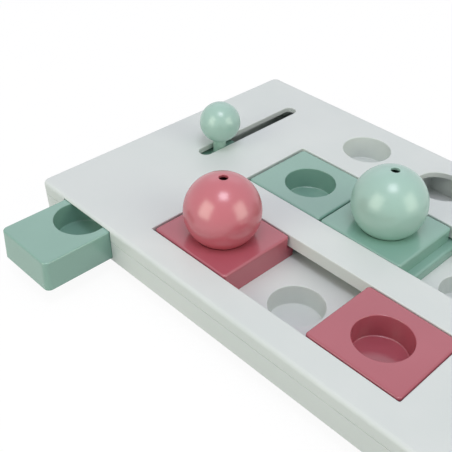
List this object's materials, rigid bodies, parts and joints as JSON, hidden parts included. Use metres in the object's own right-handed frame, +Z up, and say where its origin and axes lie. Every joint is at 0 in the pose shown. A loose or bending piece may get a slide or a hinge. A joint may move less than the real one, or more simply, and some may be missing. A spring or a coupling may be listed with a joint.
{
  "type": "dog puzzle feeder toy",
  "caption": "Flat board of two moulded shells with round treat wells, sliding tiles, drawers, a lever knob and lift-off ball covers.",
  "frame": {"origin": "on the ground under the middle of the board, at the bottom of the centre foot", "axes": "+X along the channels towards the right drawer's end, +Y from the front wall, where the left drawer comes out, to the back wall, +Z up"},
  "size_m": [0.4759, 0.3312, 0.0905],
  "materials": {
    "shell": "satin moulded, pale grey",
    "mint": "semi-gloss, muted mint",
    "pink": "semi-gloss, dusty pink",
    "steel": "zinc-plated",
    "rubber_foot": "matt"
  },
  "bodies": {
    "base": {"top_cover": "shell", "base_tray": "shell", "cover_screws": "steel", "rubber_foot_centre": "rubber_foot", "rubber_foot_front_left": "rubber_foot", "rubber_foot_front_right": "rubber_foot", "rubber_foot_front_middle": "rubber_foot", "rubber_foot_back_left": "rubber_foot", "rubber_foot_back_right": "rubber_foot", "rubber_foot_back_middle": "rubber_foot"},
    "left_drawer": {"left_drawer": "mint", "lever_post": "mint", "lever_knob": "mint", "lever_screw": "steel"},
    "right_drawer": {"right_drawer": "pink"},
    "pink_tile_left": {"pink_tile_left": "pink"},
    "pink_tile_right": {"pink_tile_right": "pink"},
    "green_tile_left": {"green_tile_left": "mint"},
    "green_tile_middle": {"green_tile_middle": "mint"},
    "pink_ball": {"pink_ball": "pink"},
    "green_ball": {"green_ball": "mint"}
  },
  "joints": [
    {"name": "left_drawer_slide", "type": "slide", "parent": "base", "child": "left_drawer", "axis": [0, 1, 0], "range_m": [-0.0161, 0.0903]},
    {"name": "right_drawer_slide", "type": "slide", "parent": "base", "child": "right_drawer", "axis": [1, 0, 0], "range_m": [-0.076, 0]},
    {"name": "pink_left_slide", "type": "slide", "parent": "base", "child": "pink_tile_left", "axis": [1, 0, 0], "range_m": [-0.0007, 0.0727]},
    {"name": "pink_right_slide", "type": "slide", "parent": "base", "child": "pink_tile_right", "axis": [1, 0, 0], "range_m": [-0.0727, 0.0004]},
    {"name": "green_left_slide", "type": "slide", "parent": "base", "child": "green_tile_left", "axis": [1, 0, 0], "range_m": [-0.0015, 0.0716]},
    {"name": "green_middle_slide", "type": "slide", "parent": "green_tile_left", "child": "green_tile_middle", "axis": [-1, 0, 0], "range_m": [-0.0716, 0]},
    {"name": "pink_ball_lift", "type": "slide", "parent": "pink_tile_left", "child": "pink_ball", "axis": [0, 0, 1], "range_m": [0, 0.06]},
    {"name": "green_ball_lift", "type": "slide", "parent": "green_tile_middle", "child": "green_ball", "axis": [0, 0, 1], "range_m": [0, 0.06]}
  ]
}
